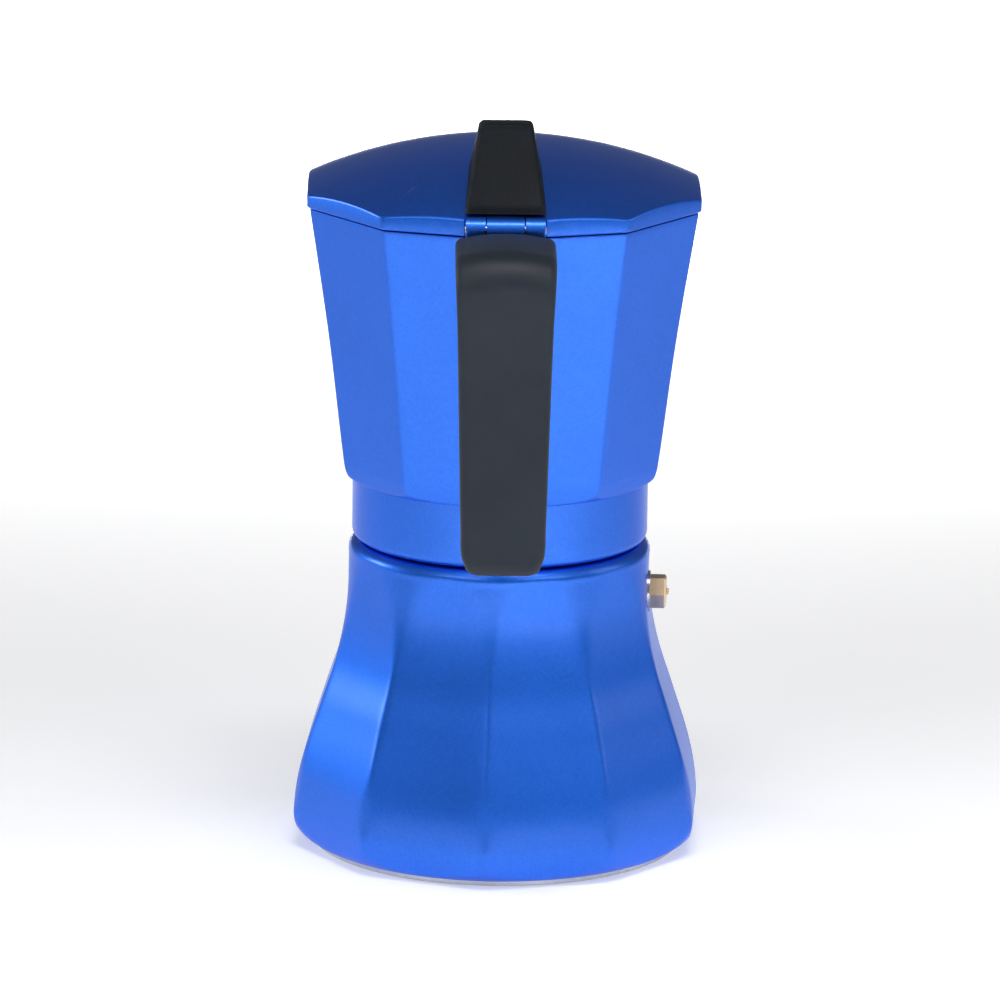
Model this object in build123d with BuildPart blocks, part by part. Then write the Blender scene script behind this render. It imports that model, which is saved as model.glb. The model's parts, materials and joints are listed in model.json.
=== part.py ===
from build123d import *
import math
import os

# Ten-sided stove-top coffee maker: boiler, coffee basket, upper chamber, lid and handle.
# Millimetres, +Z up. The origin is the centre of the base disc's underside, the handle
# points along -Y, the spout along +Y and the safety valve nearly along +X.

# ---------------------------------------------------------------- driving dimensions
SIDES = 10
SIDE_ANGLE = 360 / SIDES
FACET_RATIO = math.cos(math.radians(SIDE_ANGLE / 2))  # facet distance over corner radius
CORNER_PHASE = 90 - 2 * SIDE_ANGLE  # turns a ten-sided outline so that corners lie on Y
BOILER_TURN = -3.5  # the tightened thread stops short of lining up the facets

disc_radius = 48.7
disc_thickness = 2.4
disc_proud = 1.5  # how far the disc stands out of the boiler's underside

boiler_floor = 5.2
shoulder_z = 81.3  # flat top of the boiler's shoulder
neck_root_radius = 33.4  # boiler neck, at the bottom of its thread
neck_bore_radius = 30.5
neck_top_z = 91.5
thread_pitch = 3.0
thread_crest_radius = 34.3
nut_crest_radius = 34.55  # upper chamber's thread, clear of the boiler's
nut_root_radius = 35.4

valve_z = 67.5
valve_seat_x = 39.0  # spot face for the washer, from the pot's axis
valve_hex_flats = 8.0
valve_hex_length = 4.2
valve_shank_radius = 3.5
valve_washer_thickness = 0.75

collar_radius = 38.65  # round collar at the foot of the upper chamber
collar_bottom_z = 81.7
collar_top_z = 98.4
chamber_rim_z = 171.4
chamber_rim_corner = 52.7
chamber_floor_z = 102.6
seal_recess_radius = 33.6
seal_recess_top_z = 96.8

lid_bottom_z = 171.8
lid_corner_radius = 53.5
lid_wall = 2.0
dome_radius = 126.2
dome_top_z = 186.9

hinge_y = -52.9
hinge_z = 174.2
hinge_pin_radius = 1.25
ear_radius = 3.2
ear_inner_x = 5.1
ear_outer_x = 10.1
knuckle_half_width = 4.8
knuckle_radius = 3.0
hinge_clear_radius = 3.75

handle_top_z = 174.0
handle_half_width = 12.8
handle_waist_half_width = 12.1
handle_foot_half_width = 10.6
handle_reach = 86.0  # outer face of the strap, from the pot's axis
handle_foot_z = 92.8
strap_thickness = 8.5
lug_half_width = 4.5
lug_bottom_z = 155.0
lug_top_z = 167.5
lug_reach = 68.0
handle_screw_y = -61.5

lever_screw_y = (-42.0, -31.0)
lever_foot_half_width = 10.3
lever_top_half_width = 6.7
lever_top_z = 198.1

os.makedirs("parts", exist_ok=True)


def facet_cutter(curve_points, reach):
    """What lies outside one facet whose upright curve goes through (radius, height) points."""
    low = curve_points[0][1]
    high = curve_points[-1][1]
    with BuildPart() as cutter:
        with BuildSketch(Plane.XZ):
            with BuildLine():
                curve = Spline(*curve_points)
                Polyline(curve @ 1, (reach, high), (reach, low), curve @ 0)
            make_face()
        extrude(amount=reach * 0.45, both=True)
    return cutter.part


def thread_ridge(root, crest, low_z, high_z):
    """One helical ridge whose base is sunk a little into the wall that carries it."""
    outward = 1 if crest > root else -1
    base = root - 0.2 * outward
    with BuildPart() as ridge:
        with BuildLine() as path:
            Helix(pitch=thread_pitch, height=high_z - low_z, radius=root, center=(0, 0, low_z))
        start = path.line @ 0
        section = Plane(origin=start, x_dir=(1, 0, 0), z_dir=path.line % 0)
        with BuildSketch(section):
            with BuildLine():
                Polyline(
                    (base - root, -0.95),
                    (crest - root, -0.4),
                    (crest - root, 0.4),
                    (base - root, 0.95),
                    close=True,
                )
            make_face()
        sweep(is_frenet=True)
    return ridge.part


def save(part, name):
    part.label = name
    export_step(part, f"parts/{name}.step")


# ---------------------------------------------------------------- boiler
boiler_facet = facet_cutter(
    [(50.2, 0), (51.9, 5), (52.4, 11), (50.95, 21.4), (45.85, 38.4), (41.75, 51.2),
     (39.4, 64), (39.15, 74), (39.9, 82)],
    70,
)
boiler_thread = thread_ridge(neck_root_radius, thread_crest_radius, 83.4, 89.8)


def make_boiler():
    with BuildPart() as boiler:
        with BuildSketch(Plane.XZ):
            with BuildLine():
                foot = Line((0, disc_proud), (49.3, disc_proud))
                heel = RadiusArc(foot @ 1, (54.95, 10), -8.6)
                flank = Spline(heel @ 1, (52.2, 25.6), (48.0, 38.4), (43.75, 51.2), (40.8, 64),
                               (39.55, 77.6), tangents=[(-0.03, 1), (-0.03, 1)])
                shoulder = RadiusArc(flank @ 1, (36.9, shoulder_z), -3.2)
                neck = Polyline(shoulder @ 1, (neck_root_radius, shoulder_z),
                                (neck_root_radius, neck_top_z), (neck_bore_radius, neck_top_z),
                                (neck_bore_radius, 79.5))
                vault = RadiusArc(neck @ 1, (36.0, 72), 7.5)
                wall = Spline(vault @ 1, (36.2, 64), (38.6, 51.2), (42.6, 38.4), (47.4, 21.4),
                              (48.6, 12), tangents=[(0, -1), (0.02, -1)])
                basin = RadiusArc(wall @ 1, (42.0, boiler_floor), 7.0)
                Polyline(basin @ 1, (0, boiler_floor), (0, disc_proud))
            make_face()
        revolve(axis=Axis.Z)
        with PolarLocations(0, SIDES):
            add(boiler_facet, mode=Mode.SUBTRACT)
        # seat of the steel disc
        with Locations((0, 0, disc_proud)):
            Cylinder(disc_radius + 0.05, disc_thickness - disc_proud,
                     align=(Align.CENTER, Align.CENTER, Align.MIN), mode=Mode.SUBTRACT)
        # inner boss, spot face and hole of the safety valve
        with BuildSketch(Plane.YZ.offset(32.8)):
            with Locations((0, valve_z)):
                Circle(6.2)
        extrude(amount=4.6)
        with BuildSketch(Plane.YZ.offset(valve_seat_x)):
            with Locations((0, valve_z)):
                Circle(6.0)
        extrude(amount=4, mode=Mode.SUBTRACT)
        with BuildSketch(Plane.YZ.offset(30)):
            with Locations((0, valve_z)):
                Circle(valve_shank_radius + 0.05)
        extrude(amount=14, mode=Mode.SUBTRACT)
        add(boiler_thread)
    return boiler.part


def make_base_disc():
    with BuildPart() as disc:
        Cylinder(disc_radius, disc_thickness, align=(Align.CENTER, Align.CENTER, Align.MIN))
        chamfer(disc.edges().group_by(Axis.Z)[0], 0.4)
        # shallow spun rings on the underside
        for ring in (16, 26, 36):
            with BuildSketch(Plane.XY):
                Circle(ring)
                Circle(ring - 1.0, mode=Mode.SUBTRACT)
            extrude(amount=0.3, mode=Mode.SUBTRACT)
    return disc.part


# ---------------------------------------------------------------- safety valve
valve_face_x = valve_seat_x + valve_washer_thickness
valve_end_x = valve_face_x + valve_hex_length
valve_inner_x = 32.4
valve_ledge_x = 34.4
valve_cap_x = valve_end_x - 2.2
valve_bore_radius = 1.9
pin_stem_radius = 0.8


def on_valve_axis(start_x):
    return Plane(origin=(start_x, 0, valve_z), x_dir=(0, 1, 0), z_dir=(1, 0, 0))


def make_valve_body():
    with BuildPart() as body:
        with BuildSketch(on_valve_axis(valve_face_x)):
            RegularPolygon(valve_hex_flats / 2, 6, major_radius=False)
        extrude(amount=valve_hex_length)
        chamfer(body.edges().group_by(Axis.X)[-1], 0.45)
        with BuildSketch(on_valve_axis(valve_inner_x)):
            Circle(valve_shank_radius)
        extrude(amount=valve_face_x - valve_inner_x)
        with BuildSketch(on_valve_axis(valve_ledge_x)):
            Circle(valve_bore_radius)
        extrude(amount=20, mode=Mode.SUBTRACT)
        with BuildSketch(on_valve_axis(valve_inner_x)):
            Circle(1.1)
        extrude(amount=20, mode=Mode.SUBTRACT)
    return body.part


def make_valve_washer():
    with BuildPart() as washer:
        with BuildSketch(on_valve_axis(valve_seat_x)):
            Circle(5.4)
            Circle(valve_shank_radius + 0.05, mode=Mode.SUBTRACT)
        extrude(amount=valve_washer_thickness)
    return washer.part


def make_valve_cap():
    with BuildPart() as cap:
        with BuildSketch(on_valve_axis(valve_cap_x)):
            Circle(valve_bore_radius)
            Circle(pin_stem_radius + 0.06, mode=Mode.SUBTRACT)
        extrude(amount=valve_end_x - valve_cap_x - 0.3)
    return cap.part


def make_valve_pin():
    with BuildPart() as pin:
        with BuildSketch(on_valve_axis(valve_ledge_x)):
            Circle(1.7)
        extrude(amount=1.0)
        with BuildSketch(on_valve_axis(valve_ledge_x)):
            Circle(pin_stem_radius)
        extrude(amount=valve_end_x - valve_ledge_x + 0.7)
        chamfer(pin.edges().group_by(Axis.X)[-1], 0.25)
    return pin.part


def make_valve_spring():
    wire = 0.36
    start = valve_ledge_x + 1.0 + wire / 2
    length = valve_cap_x - start - wire / 2
    with BuildPart() as spring:
        with BuildLine() as path:
            Helix(pitch=length / 5, height=length, radius=1.35,
                  center=(start, 0, valve_z), direction=(1, 0, 0))
        with BuildSketch(Plane(origin=path.line @ 0, z_dir=path.line % 0)):
            Circle(wire / 2)
        sweep(is_frenet=True)
    return spring.part


# ---------------------------------------------------------------- coffee basket
basket_radius = 30.0
basket_floor_z = 66.0
flange_top_z = neck_top_z + 0.8
stem_radius = 5.5
stem_bottom_z = 8.6


def make_funnel():
    with BuildPart() as funnel:
        with BuildSketch(Plane.XZ):
            with BuildLine():
                Polyline(
                    (stem_radius - 0.9, stem_bottom_z),
                    (stem_radius, stem_bottom_z),
                    (stem_radius, 55.0),
                    (basket_radius - 1.5, basket_floor_z - 3),
                    (basket_radius, basket_floor_z - 1.5),
                    (basket_radius, neck_top_z),
                    (33.2, neck_top_z),
                    (33.2, flange_top_z),
                    (basket_radius - 0.9, flange_top_z),
                    (basket_radius - 0.9, basket_floor_z),
                    (basket_radius - 2.6, basket_floor_z),
                    (basket_radius - 2.6, basket_floor_z - 2.2),
                    (stem_radius - 0.9, 55.6),
                    close=True,
                )
            make_face()
        revolve(axis=Axis.Z)
        # notch at the stem's mouth, so that it can't seal against the boiler's floor
        with Locations((0, 0, stem_bottom_z)):
            Box(2 * stem_radius + 2, 2.4, 3.0, mode=Mode.SUBTRACT)
    return funnel.part


def perforated_disc(radius, low_z, thickness, hole_radius, spacing, field):
    with BuildPart() as disc:
        with BuildSketch(Plane.XY.offset(low_z)):
            Circle(radius)
        extrude(amount=thickness)
        with BuildSketch(Plane.XY.offset(low_z)):
            for ring in range(1, int(field / spacing) + 1):
                with PolarLocations(ring * spacing, 6 * ring):
                    Circle(hole_radius)
            Circle(hole_radius)
        extrude(amount=thickness, mode=Mode.SUBTRACT)
    return disc.part


# ---------------------------------------------------------------- seal
def make_seal_ring():
    with BuildPart() as seal:
        with BuildSketch(Plane.XY.offset(flange_top_z)):
            Circle(33.3)
            Circle(27.0, mode=Mode.SUBTRACT)
        extrude(amount=seal_recess_top_z - 0.8 - flange_top_z)
        fillet(seal.edges().filter_by(GeomType.CIRCLE), 0.6)
    return seal.part


# ---------------------------------------------------------------- upper chamber
chamber_facet = facet_cutter(
    [(38.9, 97.6), (39.9, 100.3), (40.85, 104), (45.0, 137.5),
     (chamber_rim_corner * FACET_RATIO, chamber_rim_z), (50.9, 176)],
    75,
)
chamber_thread = thread_ridge(nut_root_radius, nut_crest_radius, 84.0, 89.6)


def make_chamber_block():
    """The upper chamber's outside, solid."""
    with BuildPart() as block:
        with BuildSketch(Plane.XZ):
            with BuildLine():
                foot = Line((0, collar_bottom_z), (collar_radius - 1.8, collar_bottom_z))
                lip = RadiusArc(foot @ 1, (collar_radius, collar_bottom_z + 2.4), -2.4)
                collar = Line(lip @ 1, (collar_radius, collar_top_z))
                roll = RadiusArc(collar @ 1, (43.0, 103.8), -5.2)
                flank = ThreePointArc(roll @ 1, (47.35, 137.5), (chamber_rim_corner, chamber_rim_z))
                Polyline(flank @ 1, (0, chamber_rim_z), (0, collar_bottom_z))
            make_face()
        revolve(axis=Axis.Z)
        with PolarLocations(0, SIDES):
            add(chamber_facet, mode=Mode.SUBTRACT)
    return block.part


def spout_wedge(top_half_width, top_root, top_tip, low_half_width, low_root, low_tip, low_z, top_z):
    """A three-sided wedge on the +Y corner, widest at its top."""
    with BuildPart() as wedge:
        for z, half_width, root, tip in (
            (low_z, low_half_width, low_root, low_tip),
            (top_z, top_half_width, top_root, top_tip),
        ):
            with BuildSketch(Plane.XY.offset(z)):
                with BuildLine():
                    Polyline((-half_width, root), (half_width, root), (0, tip), close=True)
                make_face()
        loft(ruled=True)
    return wedge.part


chamber_block = make_chamber_block()
spout_outside = spout_wedge(14.0, 46.0, 65.0, 1.4, 44.5, 47.0, 137.0, chamber_rim_z)
spout_inside = spout_wedge(11.6, 44.5, 61.6, 0.9, 43.0, 45.6, 141.0, chamber_rim_z + 0.01)


def make_upper_chamber():
    with BuildPart() as chamber:
        add(chamber_block)
        add(spout_outside)
        # inside of the ten-sided chamber
        for z, corner in ((chamber_floor_z, 40.2), (chamber_rim_z + 1, 50.4)):
            with BuildSketch(Plane.XY.offset(z)):
                RegularPolygon(corner, SIDES, rotation=CORNER_PHASE)
        loft(ruled=True, mode=Mode.SUBTRACT)
        add(spout_inside, mode=Mode.SUBTRACT)
        # lug that the handle fits over
        with BuildSketch(Plane.YZ):
            with BuildLine():
                Polyline((-48.2, lug_bottom_z - 3), (-lug_reach, lug_bottom_z),
                         (-lug_reach, lug_top_z), (-50.6, lug_top_z), close=True)
            make_face()
        extrude(amount=lug_half_width, both=True)
        # hinge ears
        for middle_x in ((ear_inner_x + ear_outer_x) / 2, -(ear_inner_x + ear_outer_x) / 2):
            with BuildSketch(Plane.YZ.offset(middle_x)):
                with BuildLine():
                    Polyline((hinge_y - ear_radius, hinge_z), (-52.4, 166), (-49.4, 166),
                             (hinge_y + ear_radius, hinge_z), close=True)
                make_face()
                with Locations((hinge_y, hinge_z)):
                    Circle(ear_radius)
            extrude(amount=(ear_outer_x - ear_inner_x) / 2, both=True)
        # room for the lid's knuckle, and the pin's hole
        with BuildSketch(Plane.YZ):
            with Locations((hinge_y, hinge_z)):
                Circle(knuckle_radius + 0.5)
        extrude(amount=ear_inner_x, both=True, mode=Mode.SUBTRACT)
        with BuildSketch(Plane.YZ):
            with Locations((hinge_y, hinge_z)):
                Circle(hinge_pin_radius)
        extrude(amount=20, both=True, mode=Mode.SUBTRACT)
        # coffee column
        with BuildSketch(Plane.XZ):
            with BuildLine():
                Polyline((0, chamber_floor_z - 1), (10.5, chamber_floor_z - 1), (8.5, 107),
                         (6.6, 155), (5.0, 158), (0, 159), close=True)
            make_face()
        revolve(axis=Axis.Z)
        # thread bore, seal recess, coffee gallery and the column's bore
        with BuildSketch(Plane.XZ):
            with BuildLine():
                Polyline((0, collar_bottom_z), (nut_root_radius, collar_bottom_z),
                         (nut_root_radius, 91.6), (seal_recess_radius, 92.2),
                         (seal_recess_radius, seal_recess_top_z), (30, seal_recess_top_z),
                         (4.0, 99.6), (3.6, 154.5), (0, 154.5), close=True)
            make_face()
        revolve(axis=Axis.Z, mode=Mode.SUBTRACT)
        # two outlets near the column's top
        with Locations((0, 0, 151.5)):
            Box(20, 4.6, 5.0, mode=Mode.SUBTRACT)
        # hole for the handle's screw
        with BuildSketch(Plane.XY.offset(lug_bottom_z - 4)):
            with Locations((0, handle_screw_y)):
                Circle(1.5)
        extrude(amount=13, mode=Mode.SUBTRACT)
        add(chamber_thread)
    return chamber.part


# ---------------------------------------------------------------- lid
def dome_slice(radius, top_z):
    """The ball whose top is the lid's dome."""
    with BuildPart() as ball:
        with Locations((0, 0, top_z - radius)):
            Sphere(radius)
    return ball.part


dome_outside = dome_slice(dome_radius, dome_top_z)
dome_inside = dome_slice(dome_radius - lid_wall, dome_top_z - lid_wall)


def dome_height(distance):
    return dome_top_z - dome_radius + math.sqrt(dome_radius**2 - distance**2)


def lid_hollow():
    with BuildPart() as hollow:
        with BuildSketch(Plane.XY.offset(lid_bottom_z)):
            RegularPolygon(lid_corner_radius - 2.1, SIDES, rotation=CORNER_PHASE)
        extrude(amount=30)
        add(dome_inside, mode=Mode.INTERSECT)
    return hollow.part


lid_inside = lid_hollow()
screw_pads = tuple((y, dome_height(-y) - lid_wall - 2.4) for y in lever_screw_y)


def make_lid():
    with BuildPart() as lid:
        with BuildSketch(Plane.XY.offset(lid_bottom_z)):
            RegularPolygon(lid_corner_radius, SIDES, rotation=CORNER_PHASE)
        extrude(amount=30)
        add(dome_outside, mode=Mode.INTERSECT)
        add(lid_inside, mode=Mode.SUBTRACT)
        # beak over the spout
        with BuildSketch(Plane.XY.offset(lid_bottom_z)):
            with BuildLine():
                Polyline((-12.5, 50.2), (12.5, 50.2), (0, 63.5), close=True)
            make_face()
        extrude(amount=2.4)
        # locating lip inside the chamber's rim, clear of the hinge and of the spout's mouth
        with BuildSketch(Plane.XY.offset(lid_bottom_z - 2.0)):
            RegularPolygon(lid_corner_radius - 3.9, SIDES, rotation=CORNER_PHASE)
            RegularPolygon(lid_corner_radius - 5.5, SIDES, rotation=CORNER_PHASE, mode=Mode.SUBTRACT)
            with Locations((0, 50), (0, -50)):
                Rectangle(26, 16, mode=Mode.SUBTRACT)
        extrude(amount=5.0)
        # pads under the lever's screws
        for y, pad_z in screw_pads:
            with BuildSketch(Plane.XY.offset(pad_z)):
                with Locations((0, y)):
                    Circle(4.4)
            extrude(until=Until.NEXT)
        # room for the ears
        with BuildSketch(Plane.YZ):
            with Locations((hinge_y, hinge_z)):
                Circle(hinge_clear_radius)
            with BuildLine():
                Polyline((-60, 160), (-60, 190), (hinge_y, 190), (hinge_y, hinge_z),
                         (hinge_y + hinge_clear_radius, hinge_z),
                         (hinge_y + hinge_clear_radius, 160), close=True)
            make_face()
        extrude(amount=ear_outer_x + 0.4, both=True, mode=Mode.SUBTRACT)
        # knuckle and its arm
        with BuildSketch(Plane.YZ):
            with Locations((hinge_y, hinge_z)):
                Circle(knuckle_radius)
            with BuildLine():
                Polyline((hinge_y, hinge_z - 1.4), (-47.2, hinge_z - 1.4), (-47.2, 177.6),
                         (-48.6, 177.2), (hinge_y, hinge_z + knuckle_radius), close=True)
            make_face()
        extrude(amount=knuckle_half_width, both=True)
        with BuildSketch(Plane.YZ):
            with Locations((hinge_y, hinge_z)):
                Circle(hinge_pin_radius + 0.05)
        extrude(amount=20, both=True, mode=Mode.SUBTRACT)
        # screw holes
        with BuildSketch(Plane.XY.offset(170)):
            with Locations(*[(0, y) for y in lever_screw_y]):
                Circle(1.6)
        extrude(amount=25, mode=Mode.SUBTRACT)
    return lid.part


def make_hinge_pin():
    with BuildPart() as pin:
        with BuildSketch(Plane.YZ):
            with Locations((hinge_y, hinge_z)):
                Circle(hinge_pin_radius)
        extrude(amount=ear_outer_x + 0.2, both=True)
        chamfer(pin.edges().filter_by(GeomType.CIRCLE), 0.3)
    return pin.part


# ---------------------------------------------------------------- thumb lever
def make_lid_lever():
    with BuildPart() as lever:
        with BuildSketch(Plane.YZ):
            with BuildLine():
                heel = Line((-51.4, 177.9), (-51.0, 179.8))
                back = ThreePointArc(heel @ 1, (-43.2, 188.6), (-35.5, lever_top_z))
                crown = Line(back @ 1, (-29.5, lever_top_z))
                front = ThreePointArc(crown @ 1, (-26.4, 190), (-21.0, 184))
                Polyline(front @ 1, (-21.0, 177.9), heel @ 0)
            make_face()
        extrude(amount=lever_foot_half_width, both=True)
        with BuildSketch(Plane.XZ):
            with BuildLine():
                Polyline((-lever_foot_half_width, 176), (lever_foot_half_width, 176),
                         (lever_foot_half_width, 179), (lever_top_half_width + 0.6, lever_top_z - 2),
                         (lever_top_half_width, lever_top_z), (-lever_top_half_width, lever_top_z),
                         (-lever_top_half_width - 0.6, lever_top_z - 2), (-lever_foot_half_width, 179),
                         close=True)
            make_face()
        extrude(amount=80, mode=Mode.INTERSECT)
        fillet(lever.edges().group_by(Axis.Z)[-1], 1.1)
        add(dome_outside, mode=Mode.SUBTRACT)
        with BuildSketch(Plane.XY.offset(176)):
            with Locations(*[(0, y) for y in lever_screw_y]):
                Circle(2.1)
        extrude(amount=9.4, mode=Mode.SUBTRACT)
        with BuildSketch(Plane.XY.offset(185)):
            with Locations((0, lever_screw_y[1])):
                Circle(2.1)
        extrude(amount=5, mode=Mode.SUBTRACT)
    return lever.part


def make_lever_inserts():
    with BuildPart() as inserts:
        for y in lever_screw_y:
            foot = dome_height(-y) + 0.7
            with BuildSketch(Plane.XY.offset(foot)):
                with Locations((0, y)):
                    Circle(2.1)
                    Circle(1.5, mode=Mode.SUBTRACT)
            extrude(amount=4.2)
    return inserts.part


def make_lever_washers():
    with BuildPart() as washers:
        for y, pad_z in screw_pads:
            with BuildSketch(Plane.XY.offset(pad_z - 0.5)):
                with Locations((0, y)):
                    Circle(3.6)
                    Circle(1.6, mode=Mode.SUBTRACT)
            extrude(amount=0.5)
    return washers.part


def make_lever_screws():
    with BuildPart() as screws:
        for y, pad_z in screw_pads:
            with BuildSketch(Plane.XY.offset(pad_z - 2.3)):
                with Locations((0, y)):
                    Circle(2.7)
            extrude(amount=1.8)
            with BuildSketch(Plane.XY.offset(pad_z - 0.6)):
                with Locations((0, y)):
                    Circle(1.45)
            extrude(amount=dome_height(-y) + 4.6 - pad_z)
            # cross recess
            with BuildSketch(Plane.XY.offset(pad_z - 2.3)):
                with Locations((0, y)):
                    Rectangle(3.0, 0.6)
                    Rectangle(0.6, 3.0)
            extrude(amount=1.1, mode=Mode.SUBTRACT)
    return screws.part


# ---------------------------------------------------------------- handle
def make_handle():
    inner = handle_reach - strap_thickness
    with BuildPart() as handle:
        with BuildSketch(Plane.YZ):
            with BuildLine():
                top = Line((-44, handle_top_z), (-(handle_reach - 9), handle_top_z))
                bend = RadiusArc(top @ 1, (-handle_reach, handle_top_z - 9), -9)
                back = ThreePointArc(bend @ 1, (-handle_reach - 0.8, 130), (-handle_reach - 4.0, 94.5))
                toe = RadiusArc(back @ 1, (-handle_reach + 2.0, handle_foot_z), -5.0)
                belly = ThreePointArc(toe @ 1, (-inner - 1.2, 116), (-inner, 142))
                crook = RadiusArc(belly @ 1, (-inner + 9, 151), 9)
                Polyline(crook @ 1, (-44, 151), (-44, handle_top_z))
            make_face()
        extrude(amount=handle_half_width, both=True)
        with BuildSketch(Plane.XZ):
            with BuildLine():
                Polyline((-5, handle_top_z), (5, handle_top_z),
                         (handle_half_width, handle_top_z - 1.9), (handle_waist_half_width, 156),
                         (handle_foot_half_width, 100), (handle_foot_half_width - 3.4, 93.6),
                         (0, 92), (3.4 - handle_foot_half_width, 93.6),
                         (-handle_foot_half_width, 100), (-handle_waist_half_width, 156),
                         (-handle_half_width, handle_top_z - 1.9), close=True)
            make_face()
        extrude(amount=120, mode=Mode.INTERSECT)
        add(chamber_block, mode=Mode.SUBTRACT)
        # room for the hinge ears and the lid's knuckle
        with BuildSketch(Plane.YZ):
            with BuildLine():
                Polyline((-40, 163), (-54.2, 163), (-56.8, 171.5), (-56.8, 176), (-40, 176), close=True)
            make_face()
        extrude(amount=14, both=True, mode=Mode.SUBTRACT)
        # pocket for the chamber's lug
        with BuildSketch(Plane.YZ):
            with BuildLine():
                Polyline((-46, lug_bottom_z - 3.5), (-lug_reach - 0.2, lug_bottom_z - 0.1),
                         (-lug_reach - 0.2, lug_top_z + 0.1), (-46, lug_top_z + 0.1), close=True)
            make_face()
        extrude(amount=lug_half_width + 0.1, both=True, mode=Mode.SUBTRACT)
        # counterbored hole for the screw
        with Locations(Plane(origin=(0, handle_screw_y, 151), z_dir=(0, 0, -1))):
            CounterBoreHole(1.7, 3.1, 2.2, depth=6)
    return handle.part


def make_handle_screw():
    with BuildPart() as screw:
        with BuildSketch(Plane.XY.offset(151.3)):
            with Locations((0, handle_screw_y)):
                Circle(2.9)
        extrude(amount=1.9)
        with BuildSketch(Plane.XY.offset(153.1)):
            with Locations((0, handle_screw_y)):
                Circle(1.45)
        extrude(amount=10)
        with BuildSketch(Plane.XY.offset(151.3)):
            with Locations((0, handle_screw_y)):
                Rectangle(3.2, 0.7)
                Rectangle(0.7, 3.2)
        extrude(amount=1.1, mode=Mode.SUBTRACT)
    return screw.part


# ---------------------------------------------------------------- write every piece
turned_with_boiler = {
    "boiler": make_boiler(),
    "base_disc": make_base_disc(),
    "valve_body": make_valve_body(),
    "valve_washer": make_valve_washer(),
    "valve_cap": make_valve_cap(),
    "valve_pin": make_valve_pin(),
    "valve_spring": make_valve_spring(),
}
for name, part in turned_with_boiler.items():
    save(part.rotate(Axis.Z, BOILER_TURN), name)

save(make_funnel(), "funnel")
save(perforated_disc(basket_radius - 1.0, basket_floor_z, 0.8, 0.9, 4.4, 24), "funnel_plate")
save(make_seal_ring(), "seal_ring")
save(perforated_disc(32.8, seal_recess_top_z - 0.8, 0.8, 0.7, 3.6, 24), "filter_plate")
save(make_upper_chamber(), "upper_chamber")
save(make_lid(), "lid")
save(make_hinge_pin(), "hinge_pin")
save(make_lid_lever(), "lid_lever")
save(make_lever_inserts(), "lever_inserts")
save(make_lever_washers(), "lever_washers")
save(make_lever_screws(), "lever_screws")
save(make_handle(), "handle")
save(make_handle_screw(), "handle_screw")
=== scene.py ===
import json
import math

import bmesh
import bpy
from mathutils import Matrix, Vector


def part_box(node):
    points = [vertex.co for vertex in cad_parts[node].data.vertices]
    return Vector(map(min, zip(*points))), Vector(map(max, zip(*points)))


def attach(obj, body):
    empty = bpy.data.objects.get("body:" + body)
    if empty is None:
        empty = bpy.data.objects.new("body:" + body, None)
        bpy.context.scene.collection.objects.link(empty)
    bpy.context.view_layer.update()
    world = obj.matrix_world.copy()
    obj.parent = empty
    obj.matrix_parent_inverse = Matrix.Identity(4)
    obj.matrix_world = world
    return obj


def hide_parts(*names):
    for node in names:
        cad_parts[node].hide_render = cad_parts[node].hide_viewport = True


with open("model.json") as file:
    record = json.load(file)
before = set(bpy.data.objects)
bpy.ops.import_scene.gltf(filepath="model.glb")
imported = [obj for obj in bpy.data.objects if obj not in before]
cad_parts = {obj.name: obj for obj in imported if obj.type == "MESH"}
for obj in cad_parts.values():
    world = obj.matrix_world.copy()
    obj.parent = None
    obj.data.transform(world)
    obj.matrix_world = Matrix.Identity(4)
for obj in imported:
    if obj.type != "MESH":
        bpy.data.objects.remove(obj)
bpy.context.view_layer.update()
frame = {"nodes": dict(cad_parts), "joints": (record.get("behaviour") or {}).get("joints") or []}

nodes = frame["nodes"]

# Ten-sided stove-top coffee maker. Shapes are worked out in millimetres and stored in metres.
MM = 0.001
SIDES = 10
SIDE_ANGLE = 360 / SIDES
FLAT_SHARE = math.cos(math.radians(SIDE_ANGLE / 2))  # a regular facet's distance over its corner's
BOILER_TURN = -3.5  # degrees from the chamber's facets to the boiler's, when screwed home

HINGE = next(j for j in frame["joints"] if j["name"] == "lid_hinge")["pos_m"]
HINGE_Y = HINGE[1] / MM
HINGE_Z = HINGE[2] / MM
RIM_Z = 171.4  # top of the upper chamber


# ---------------------------------------------------------------- curve helpers
def soft_min(a, b, blend):
    overlap = max(blend - abs(a - b), 0.0) / blend
    return min(a, b) - overlap * overlap * blend / 4


def soft_max(a, b, blend):
    return -soft_min(-a, -b, blend)


def soft_step(value, low, high):
    t = min(max((value - low) / (high - low), 0.0), 1.0)
    return t * t * (3 - 2 * t)


def flowing(points):
    """A smooth function through (value, position) points, straight on past both ends."""
    values = [p[0] for p in points]
    places = [p[1] for p in points]
    last = len(points) - 1
    slopes = []
    for i in range(last + 1):
        a, b = max(i - 1, 0), min(i + 1, last)
        slopes.append((values[b] - values[a]) / (places[b] - places[a]))

    def at(place):
        if place <= places[0]:
            return values[0] + slopes[0] * (place - places[0])
        if place >= places[last]:
            return values[last] + slopes[last] * (place - places[last])
        i = max(k for k in range(last) if places[k] <= place)
        span = places[i + 1] - places[i]
        t = (place - places[i]) / span
        return ((2 * t**3 - 3 * t**2 + 1) * values[i] + (t**3 - 2 * t**2 + t) * span * slopes[i]
                + (3 * t**2 - 2 * t**3) * values[i + 1] + (t**3 - t**2) * span * slopes[i + 1])

    return at


def straight(a, b, steps):
    return [(a[0] + (b[0] - a[0]) * i / steps, a[1] + (b[1] - a[1]) * i / steps) for i in range(steps + 1)]


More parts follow.
